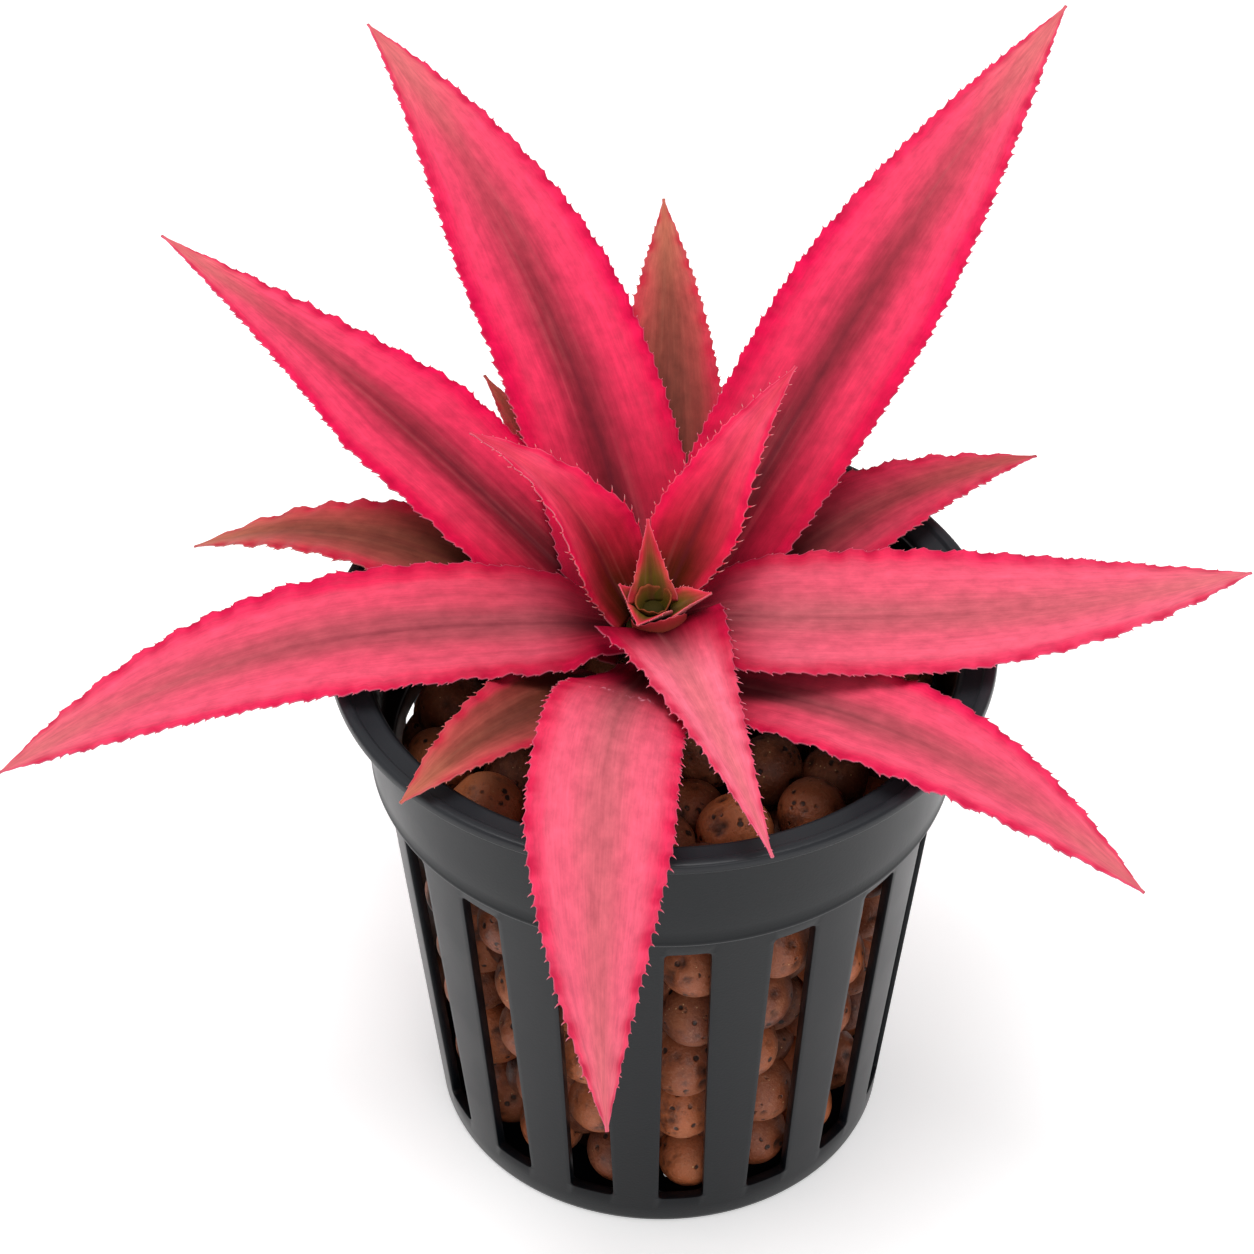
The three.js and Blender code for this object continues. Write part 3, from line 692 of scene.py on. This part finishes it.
def build_leaf(name, leaf, seed):
    """One leaf: a thin blade with waved margins, toothed outline and hooked spines."""
    random = np.random.default_rng(seed)
    length = leaf["length"]
    rows = max(int(length / STATION_STEP), 24)
    s = np.linspace(0, 1, rows)
    x = s * length
    places, across, up, forward = spine_of(leaf, s)
    half = half_width(leaf, s)
    small = np.minimum(1, half / FULL_HALF_WIDTH)
    cup = leaf["cup"] + (leaf["channel"] - leaf["cup"]) * ease(x / CUP_LENGTH)
    step = COLUMNS + 1

    # Columns lie closer together towards the margins
    column = np.linspace(-1, 1, step)
    share = np.sin(column * math.pi / 2) * 0.6 + column * 0.4
    margins = {}
    for side in (-1, 1):
        teeth = teeth_along(leaf, random)
        margins[side] = (teeth, tooth_outline(x, teeth, small), margin_wave(x, random))

    lateral = np.zeros((rows, step))
    lift = np.zeros_like(lateral)
    wave = np.zeros_like(lateral)
    for j, t in enumerate(share):
        side = 1 if t > 0 else -1
        _, outline, ripple = margins[side]
        lateral[:, j] = t * half + side * outline * abs(t) ** 6
        curl = ripple * WAVE_HEIGHT * small * abs(t) ** 3
        lift[:, j] = half * cup * abs(t) ** CHANNEL_POWER + curl
        lift[:, j] -= GROOVE_DEPTH * small * np.exp(-(t * half / GROOVE_HALF_WIDTH) ** 2)
        wave[:, j] = ripple * abs(t) ** 2
    body = EDGE_THICKNESS + (MIDDLE_THICKNESS - EDGE_THICKNESS) * (1 - share ** 4)
    thick = body * (0.45 + 0.55 * small[:, None])

    up = up[:, None]
    middle = places[:, None] + lateral[..., None] * across[:, None] + lift[..., None] * up
    above = thick[..., None] / 2 * up
    count = rows * step
    points = np.vstack([(middle + above).reshape(-1, 3), (middle - above).reshape(-1, 3)])
    faces = [grid_faces(rows, step), grid_faces(rows, step, count, flip=True)]
    left, foot = np.arange(rows - 1) * step, np.arange(COLUMNS)
    right, tip = left + COLUMNS, foot + (rows - 1) * step
    for a, b, c in ((left, count, step), (right, step, count), (foot, 1, count), (tip, count, 1)):
        faces.append(np.stack([a, a + b, a + b + c, a + c], axis=1))
    faces = [tuple(f) for block in faces for f in block]

    edge = half[:, None] * (1 - np.abs(share))
    fields = dict(
        across=np.tile(share, 2 * rows),
        along=np.tile(np.repeat(s, step), 2),
        along_mm=np.tile(np.repeat(x, step), 2),
        edge_mm=np.tile(edge.ravel(), 2),
        wave=np.tile(wave.ravel(), 2),
        under=np.repeat([0.0, 1.0], count),
        spine=np.zeros(2 * count))
    for side in (-1, 1):
        teeth = margins[side][0]
        row = np.clip(np.searchsorted(x, teeth), 0, rows - 1)
        column = COLUMNS if side > 0 else 0
        start = middle[row, column] - side * across[row] * SPINE_INSET
        reach = SPINE_LENGTH * (0.5 + 0.7 * random.random(len(teeth))) * (0.4 + 0.6 * small[row])
        reach *= leaf["spine"]
        more, more_faces, shares = spine_cones(start, side * across[row], forward[row], reach)
        offset = len(points)
        points = np.vstack([points, np.array(more)])
        faces += [tuple(offset + k for k in (f if side > 0 else f[::-1])) for f in more_faces]
        zero, each = np.zeros(len(more)), len(more) // len(teeth)
        extra = dict(
            across=zero + side, along=np.repeat(s[row], each), along_mm=np.repeat(x[row], each),
            edge_mm=zero + 1, wave=zero, under=zero, spine=np.array(shares))
        fields = {key: np.concatenate([fields[key], extra[key]]) for key in fields}

    material = leaf_material(f"{name}_skin", leaf, float(seed * 17 % 50))
    return add_object(name + "_blade", points, faces, material, fields)


def heart_piece(name, rings, faces, width, seed):
    """A young leaf from rings of points: x, y, z, then what its skin reads there."""
    rows = np.vstack(rings)
    fields = dict(zip(("across", "along", "along_mm", "edge_mm"), rows[:, 3:].T))
    for key in ("wave", "under", "spine"):
        fields[key] = np.zeros(len(rows))
    leaf = {**PLAIN_LEAF, "look": "heart", "heading": 90, "width": width}
    return add_object(name, rows[:, :3], faces, leaf_material(f"{name}_skin", leaf, seed), fields)


def build_heart_cup():
    """The youngest leaves, rolled into a small cup round the growing point."""
    turns, rows = 90, 12
    angle = turn_of(turns)
    rise = np.linspace(0, 1, rows)
    lobes = 0.5 + 0.5 * np.sin(angle) + 0.3 * np.sin(3 * angle + 1) + 0.12 * np.sin(11 * angle)
    rings = []
    for offset, order in ((0.0, rise), (CUP_THICKNESS, rise[::-1])):
        for t in order:
            reach = CUP_RADIUS + offset + 1.05 * t ** 0.7 + 0.15 * np.sin(2 * angle) * t
            z = CUP_FOOT + CUP_HEIGHT * t + 1.1 * lobes * t ** 2
            rings.append(ring_rows(angle, PLANT_X, reach, z, 0.4 * np.sin(1.5 * angle + 0.6),
                                   0.05 + 0.5 * t ** 2, 3.0 * t, 0.5 + 3.0 * (1 - t)))
    starts = [*range(0, 2 * rows * turns, turns), 0]
    faces = [(a, c, d, b) for a, b, d, c in ring_faces(starts, turns)]
    return heart_piece("heart_cup", rings, faces, 5.0, 40.0)


def build_heart_lobe():
    """The outermost of the youngest leaves: a low coral lobe in front of the cup."""
    columns, rows = 60, 12
    u = np.linspace(0, 1, columns)
    angle = np.radians(LOBE_FROM_DEG + LOBE_TURN_DEG * u)
    lean = 0.8 * np.exp(-((u - 0.16) / 0.12) ** 2)
    top = 1.9 + 1.3 * np.sin(math.pi * u ** 1.6) + 0.1 * np.sin(43 * u)
    rise = np.linspace(0, 1, rows)
    rings = []
    for offset, order in ((LOBE_THICKNESS, rise), (0.0, rise[::-1])):
        for t in order:
            reach = LOBE_RADIUS + offset * (1.3 - t) + 0.35 * t + lean * t ** 2
            rings.append(ring_rows(angle, PLANT_X + 0.5, reach, LOBE_FOOT + top * t,
                                   0.5 * (u - 0.5), 0.62 + 0.25 * t, 3.0 * t,
                                   0.05 + 3.0 * (1 - t)))
    starts = [*range(0, 2 * rows * columns, columns), 0]
    faces = ring_faces(starts, columns, around=False)
    faces.append(tuple(starts[:-1]))
    faces.append(tuple(start + columns - 1 for start in starts[-2::-1]))
    return heart_piece("heart_lobe", rings, faces, 6.0, 41.0)


# Pebbles

def inner_radius(z):
    """Radius of the pot's inside at a height."""
    if z > LEDGE_Z:
        return COLLAR_FOOT_RADIUS - WALL
    share = (z - FLOOR) / (LEDGE_Z - FLOOR)
    return BASE_RADIUS + (BODY_TOP_RADIUS - BASE_RADIUS) * share - WALL


def random_source(seed):
    """Repeatable random numbers from 0 to 1, the same as the solids were placed with."""
    state = seed
    while True:
        state = (state * 1664525 + 1013904223) % 4294967296
        yield state / 4294967296


def pebble_places():
    """(x, y, z, radius) of each top pebble and each side pebble, as the solids have them."""
    source = random_source(PLACE_SEED)

    def random():
        return next(source)

    def pebble_radius():
        return PEBBLE_RADIUS + PEBBLE_SPREAD * (2 * random() - 1)

    top, side = [], []
    for x, y, drop in SHOWN_PEBBLES:
        radius = pebble_radius()
        top.append((x, y, HEAP_TOP - radius - drop, radius))
    for index, ring in enumerate(TOP_RINGS):
        count = math.floor(math.tau * ring / (2 * PEBBLE_RADIUS + PEBBLE_GAP) + 0.5)
        for i in range(count):
            radius = pebble_radius()
            angle = (i + index / 2 + ANGLE_SPREAD * random()) * math.tau / count
            reach = min(ring + random(), inner_radius(HEAP_TOP) - HEAP_CLEARANCE - radius)
            z = HEAP_TOP - radius - HEIGHT_SPREAD * random()
            x, y = reach * math.cos(angle), reach * math.sin(angle)
            if all(math.hypot(x - a, y - b) > LEAST_SPACING for a, b, _ in SHOWN_PEBBLES):
                top.append((x, y, z, radius))
    for column in range(SLOT_COUNT):
        heading = math.radians(FIRST_SLOT_DEG + column * 360 / SLOT_COUNT)
        for row in range(SIDE_ROWS):
            radius = pebble_radius()
            z = SIDE_FROM + (SIDE_TO - SIDE_FROM) * row / (SIDE_ROWS - 1) + random() - 0.5
            reach = inner_radius(z) - HEAP_CLEARANCE - PEBBLE_GAP - radius
            angle = heading + (random() - 0.5) * SIDE_TURN
            side.append((reach * math.cos(angle), reach * math.sin(angle), z, radius))
    return top, side


def hidden_places():
    """Pebbles of the next layers in: under the top ones, and between the slots."""
    random = np.random.default_rng(HIDDEN_SEED)
    places = []
    for ring in HIDDEN_RINGS:
        count = int(math.tau * ring / HIDDEN_PITCH)
        for i in range(count):
            angle = (i + random.random() * 0.3) * math.tau / count
            radius = 4.9 + 0.5 * random.random()
            places.append((ring * math.cos(angle), ring * math.sin(angle),
                           HEAP_TOP - HIDDEN_DEPTH - 1.5 * random.random(), radius))
    for column in range(SLOT_COUNT):
        heading = math.radians(FIRST_SLOT_DEG + (column + 0.5) * 360 / SLOT_COUNT)
        for row in range(SIDE_ROWS):
            z = HIDDEN_ROWS_FROM + HIDDEN_PITCH * row + 1.5 * random.random()
            if z > SIDE_TO:
                continue
            radius = 4.7 + 0.6 * random.random()
            reach = inner_radius(z) - radius - HIDDEN_INSET - 1.5 * random.random()
            places.append((reach * math.cos(heading), reach * math.sin(heading), z, radius))
    return places


def ball_grid(cells):
    """Directions and quads of a ball made from a cube with cells by cells faces."""
    turn = np.linspace(-math.pi / 4, math.pi / 4, cells + 1)
    flat = np.tan(turn)
    a, b = np.meshgrid(flat, flat, indexing="ij")
    one = np.ones_like(a)
    sides = [(one, a, b), (-one, b, a), (b, one, a), (a, -one, b), (a, b, one), (b, a, -one)]
    points, faces = [], []
    for k, side in enumerate(sides):
        points.append(np.stack([c.ravel() for c in side], axis=1))
        faces.append(grid_faces(cells + 1, cells + 1, k * (cells + 1) ** 2))
    points = np.vstack(points)
    points /= np.linalg.norm(points, axis=1, keepdims=True)
    faces = np.vstack(faces)
    _, first, back = np.unique(np.round(points, 6), axis=0, return_index=True,
                               return_inverse=True)
    return points[first], back.ravel()[faces]


def lumpy_ball(directions, radius, random):
    """A pebble's points and how deep in a pit each lies, from 0 to 1."""
    reach = np.ones(len(directions))
    for _ in range(LUMPS):
        axis = random.normal(size=3)
        axis /= np.linalg.norm(axis)
        wave = directions @ axis * (1.5 + 2.5 * random.random()) + 6 * random.random()
        reach += LUMP_HEIGHT * np.sin(wave)
    pit = np.zeros(len(directions))
    for _ in range(PITS):
        axis = random.normal(size=3)
        axis /= np.linalg.norm(axis)
        size = 0.08 + 0.12 * random.random() ** 2
        away = np.linalg.norm(directions - axis, axis=1) / size
        pit = np.maximum(pit, np.clip(1.25 - away, 0, 1) * (0.5 + 0.5 * random.random()))
    points = directions * (radius * (reach - PIT_DEPTH * ease(pit)))[:, None]
    return points, ease(pit)


def build_pebbles(name, places, cells, painted_light, material):
    """Pebbles as one piece, each from a ball with cells by cells quads on each of six sides."""
    random = np.random.default_rng(LUMP_SEED)
    directions, quads = ball_grid(cells)
    points, faces, tones, pits = [], [], [], []
    for k, (x, y, z, radius) in enumerate(places):
        ball, pit = lumpy_ball(directions, radius, random)
        points.append(ball + (x, y, z))
        faces.append(quads + k * len(directions))
        # painted_light scales each pebble's tone: painted light or painted shade for the whole
        # piece
        tone = painted_light * (0.1 + 0.6 * random.random() + 0.3 * (z < 70))
        tones.append(np.full(len(directions), tone))
        pits.append(pit)
    fields = dict(tone=np.concatenate(tones), pit=np.concatenate(pits))
    return add_object(name, np.vstack(points), np.vstack(faces), material, fields)


def build_heap_core(material):
    """A dark inside for the heap, under the pebbles that show: painted shade in the gaps between
    them.
    """
    foot = FLOOR + HEAP_CLEARANCE
    top = HEAP_TOP - CORE_DEPTH
    profile = [(0.01, foot), (inner_radius(foot) - CORE_INSET, foot),
               (inner_radius(top) - CORE_INSET, top), (0.01, top)]
    angle = turn_of(TUBE_SIDES)
    points = np.vstack([ring_rows(angle, 0.0, radius, z) for radius, z in profile])
    faces = ring_faces(range(0, len(points), TUBE_SIDES), TUBE_SIDES)
    # No tone and deep pit colour paint it dark, as shade
    fields = dict(tone=np.zeros(len(points)), pit=np.full(len(points), 0.7))
    return add_object("pebble_bed", points, faces, material, fields, smooth=False)


# Pot

def pot_profile():
    """(radius, height, kind) round the pot's section, from under the floor's
    middle, up outside and down inside. kind names the cut through those rows."""
    # Rows lie closer together where the cuts have rounded corners
    drain = [DRAIN_FROM, 17.2, 17.6, 18.2, 20.5, 23.5, 25.8, 26.4, 26.8, DRAIN_TO]
    ends = [0.0, 0.08, 0.24, 0.47, SLOT_CORNER, 1.6, 3.2]
    slot = [SLOT_BOTTOM + e for e in ends]
    slot += list(np.linspace(SLOT_BOTTOM + 6, SLOT_TOP - 6, 14))
    slot += [SLOT_TOP - e for e in reversed(ends)]

    def outer(z):
        rise = (BODY_TOP_RADIUS - BASE_RADIUS) * (z - BASE_ROUNDING)
        return BASE_RADIUS + rise / (LEDGE_Z - BASE_ROUNDING)

    rows = []

    def uncut(*places):
        rows.extend((radius, z, "") for radius, z in places)

    centre, hub, floor_ring = FLOOR_RINGS
    foot, ledge, top = COLLAR_FOOT_RADIUS, LEDGE_Z, POT_HEIGHT
    step = top - RIM_STEP
    band = RIM_RADIUS - RIM_BAND
    lip = COLLAR_TOP_RADIUS - WALL
    # Underside and rounded base
    uncut((centre, 0.0), (hub, 0.0))
    rows += [(r, 0.0, "drain") for r in drain]
    uncut((floor_ring, 0.0), (BASE_RADIUS - 1.3, 0.0), (BASE_RADIUS - 0.7, 0.12),
          (BASE_RADIUS - 0.25, 0.5), (BASE_RADIUS, BASE_ROUNDING), (outer(3.5), 3.5))
    # Wall, the ledge under the collar, and the collar with its rounded lower edge
    rows += [(outer(z), z, "slot") for z in slot]
    uncut((outer(ledge - 1.8), ledge - 1.8), (outer(ledge) - 0.02, ledge - 0.25),
          (outer(ledge) + 0.2, ledge), (foot - 0.25, ledge), (foot + 0.03, ledge + 0.12),
          (foot + 0.12, ledge + 0.4), (foot + 0.06, ledge + 0.72), (foot - 0.02, ledge + 1.0))
    for share in (0.15, 0.35, 0.6, 0.85, 0.96):
        uncut((foot + (COLLAR_TOP_RADIUS - foot) * share, ledge + (FLANGE_Z - ledge) * share))
    # Rim with its raised outer band
    uncut((COLLAR_TOP_RADIUS + 0.1, FLANGE_Z - 0.15), (COLLAR_TOP_RADIUS + 0.5, FLANGE_Z),
          (RIM_RADIUS - 0.35, FLANGE_Z), (RIM_RADIUS - 0.08, FLANGE_Z + 0.08),
          (RIM_RADIUS, FLANGE_Z + 0.3), (RIM_RADIUS - 0.05, top - 0.45),
          (RIM_RADIUS - 0.17, top - 0.13), (RIM_RADIUS - 0.5, top),
          (band + 0.25, top - 0.02), (band + 0.05, top - 0.15),
          (band - 0.1, step + 0.12), (band - 0.35, step))
    # Down inside to the floor
    uncut((lip + 1.6, step), (lip + 1.1, step - 0.12), (lip + 0.35, step - 0.8),
          (lip, step - 1.6), (lip - 0.3, step - 5.0), (lip - 0.8, top - 12.0),
          (foot - WALL, ledge + WALL), (outer(ledge) - WALL, ledge),
          (outer(ledge - 1.8) - WALL, ledge - 1.8))
    rows += [(outer(z) - WALL, z, "slot") for z in reversed(slot)]
    uncut((outer(3.5) - WALL, 3.5), (outer(2.4) - WALL - 0.1, 2.4),
          (BASE_RADIUS - WALL - 0.6, FLOOR), (floor_ring, FLOOR))
    rows += [(r, FLOOR, "drain") for r in reversed(drain)]
    uncut((hub, FLOOR), (centre, FLOOR))
    return rows


def cut_half_width(radius, z, kind):
    """Half the width of the cut at a row, with its corners rounded off."""
    if kind == "slot":
        half, end = SLOT_WIDTH / 2, min(z - SLOT_BOTTOM, SLOT_TOP - z)
    elif kind == "drain":
        half, end = DRAIN_WIDTH / 2, min(radius - DRAIN_FROM, DRAIN_TO - radius)
    else:
        return min(SLOT_WIDTH / 2, 0.4 * math.pi / SLOT_COUNT * radius)
    short = max(SLOT_CORNER - end, 0.0)
    return half - (SLOT_CORNER - math.sqrt(max(SLOT_CORNER ** 2 - short ** 2, 0.0)))


def build_pot(material):
    """The pot as one mesh: a turned wall and floor, pierced by rounded slots."""
    rows = pot_profile()
    inside, outside = CUT_COLUMNS, RIB_COLUMNS
    per_sector = 2 * (inside + outside)
    columns = per_sector * SLOT_COUNT
    sector = math.pi / SLOT_COUNT
    points = []
    for radius, z, kind in rows:
        open_angle = math.asin(cut_half_width(radius, z, kind) / radius)
        for k in range(columns):
            place = k % per_sector - inside - outside
            share = min(abs(place), inside) / inside * open_angle
            share += max(abs(place) - inside, 0) / outside * (sector - open_angle)
            angle = math.radians(FIRST_SLOT_DEG) + 2 * sector * (k // per_sector)
            angle += math.copysign(share, place)
            points.append((radius * math.cos(angle), radius * math.sin(angle), z))

    faces = []
    for row in range(len(rows) - 1):
        pierced = rows[row][2] and rows[row][2] == rows[row + 1][2]
        for k in range(columns):
            if pierced and outside <= k % per_sector < outside + 2 * inside:
                continue
            a, b = row * columns + k, row * columns + (k + 1) % columns
            faces.append((a, b, b + columns, a + columns))
    # The walls of the cuts, from the outer rows to the inner ones
    for kind in ("drain", "slot"):
        found = [i * columns for i, row in enumerate(rows) if row[2] == kind]
        near, far = found[:len(found) // 2], found[len(found) // 2:][::-1]
        for first in range(0, columns, per_sector):
            low, high = first + outside, first + outside + 2 * inside
            for a, b, c, d in zip(near, near[1:], far, far[1:]):
                faces.append((a + low, b + low, d + low, c + low))
                faces.append((b + high, a + high, c + high, d + high))
            for k in range(low, high):
                a, b, c, d = near[0] + k, near[-1] + k, far[0] + k, far[-1] + k
                faces.append((a + 1, a, c, c + 1))
                faces.append((b, b + 1, d + 1, d))
    faces += end_faces(columns, len(points))
    pot = add_object("net_pot_shell", points, faces, material)
    round_edges(pot.data)
    return pot


def round_edges(mesh):
    """Bevels the edges at which the faces meet sharply, and shades the rest smooth."""
    work = bmesh.new()
    work.from_mesh(mesh)
    bmesh.ops.recalc_face_normals(work, faces=work.faces)
    sharp = [e for e in work.edges
             if len(e.link_faces) == 2 and e.calc_face_angle(0) > math.radians(BEVEL_FROM_DEG)]
    bmesh.ops.bevel(work, geom=sharp, offset=BEVEL_WIDTH * MM, segments=2, profile=0.5,
                    affect="EDGES", clamp_overlap=True)
    work.to_mesh(mesh)
    work.free()
    mesh.polygons.foreach_set("use_smooth", [True] * len(mesh.polygons))
    mesh.set_sharp_from_angle(angle=math.radians(SMOOTH_TO_DEG))


# Stem

def build_stem(material):
    """The stem, ringed with the scars that fallen leaves leave."""
    sides, angle = TUBE_SIDES, turn_of(TUBE_SIDES)
    heights = np.linspace(STEM_FOOT, STEM_TOP, 90)
    points = []
    for z in heights:
        radius = stem_radius(z) * (0.6 + 0.4 * min((z - STEM_FOOT) / 6.0, 1.0))
        ring = SCAR_HEIGHT * math.sin(z * SCAR_PITCH) ** 3
        swell = np.where(z < SCARRED_TO, ring + BARK_WAVE * np.sin(3 * angle + z * 0.8), 0.0)
        reach = radius - BARK_INSET * (z < SCARRED_TO) + swell
        points.append(ring_rows(angle, PLANT_X, reach, z))
    points = np.vstack(points)
    faces = ring_faces(range(0, len(points), sides), sides) + end_faces(sides, len(points))
    tip = np.clip((points[:, 2] - STEM_SHOULDER + 1.5) / 2.0, 0.0, 1.0)
    return add_object("stem_bark", points, faces, material, {"tip": tip})


# Studio

def stand(thing, place, target):
    """Puts a camera or a light at a place, facing a target."""
    thing.location = Vector(place) * MM
    facing = Vector(target) * MM - thing.location
    thing.rotation_euler = facing.to_track_quat("-Z", "Y").to_euler()
    bpy.context.scene.collection.objects.link(thing)


def build_studio():
    """Camera, floor, world and lights."""
    scene = bpy.context.scene
    camera_data = bpy.data.cameras.new("camera")
    camera_data.sensor_width = SENSOR_MM
    camera_data.lens = SENSOR_MM * FOCAL_PIXELS / IMAGE_PIXELS
    camera_data.clip_end = 10.0
    camera = bpy.data.objects.new("camera", camera_data)
    stand(camera, CAMERA_PLACE, CAMERA_AIM)
    scene.camera = camera

    paint = Surface("studio_floor")
    cloud = paint.noise(paint.object_place(), 3.0)
    color = paint.ramp(cloud, ((0.3, 250, 250, 250), (0.7, 253, 253, 253)))
    skin = paint.shade(color, 0.9, Emission_Color=(1, 1, 1, 1), Emission_Strength=FLOOR_GLOW)
    size = FLOOR_HALF_WIDTH
    corners = [(-size, -size, 0), (size, -size, 0), (size, size, 0), (-size, size, 0)]
    floor = add_object("floor", corners, [(0, 1, 2, 3)], skin)

    world = bpy.data.worlds.new("studio")
    world.use_nodes = True
    background = world.node_tree.nodes["Background"]
    background.inputs["Color"].default_value = (1, 1, 1, 1)
    background.inputs["Strength"].default_value = WORLD_LIGHT
    scene.world = world

    for name, (place, size, power) in LIGHTS.items():
        light_data = bpy.data.lights.new(name, "AREA")
        light_data.shape = "SQUARE"
        light_data.size = size * MM
        light_data.energy = power
        stand(bpy.data.objects.new(name, light_data), place, LIGHT_AIM)

    scene.view_settings.view_transform = "Standard"


build_studio()

for number, (name, (numbers, others)) in enumerate(LEAVES.items(), 1):
    leaf = {**PLAIN_LEAF, **dict(zip(LEAF_COLUMNS, numbers)), **others}
    place_piece(build_leaf(name, leaf, number), name)

for heart in (build_heart_cup(), build_heart_lobe()):
    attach(heart, BODY)
clay = pebble_material()
top_places, side_places = pebble_places()
# painted_light: the top pebbles are painted lighter against the leaves' shade, and the layer
# within is painted darker, as shade deep in the heap
for label, chosen, cells, painted_light in (
        ("pebbles_top", top_places, 16, 1.6), ("pebbles_side", side_places, 12, 1.0),
        ("pebbles_within", hidden_places(), 8, 0.3)):
    piece = build_pebbles(label, chosen, cells, painted_light, clay)
    place_piece(piece, "clay_pebbles")
place_piece(build_heap_core(clay), "clay_pebbles")
place_piece(build_pot(plastic_material()), "net_pot")
place_piece(build_stem(stem_material()), "stem")
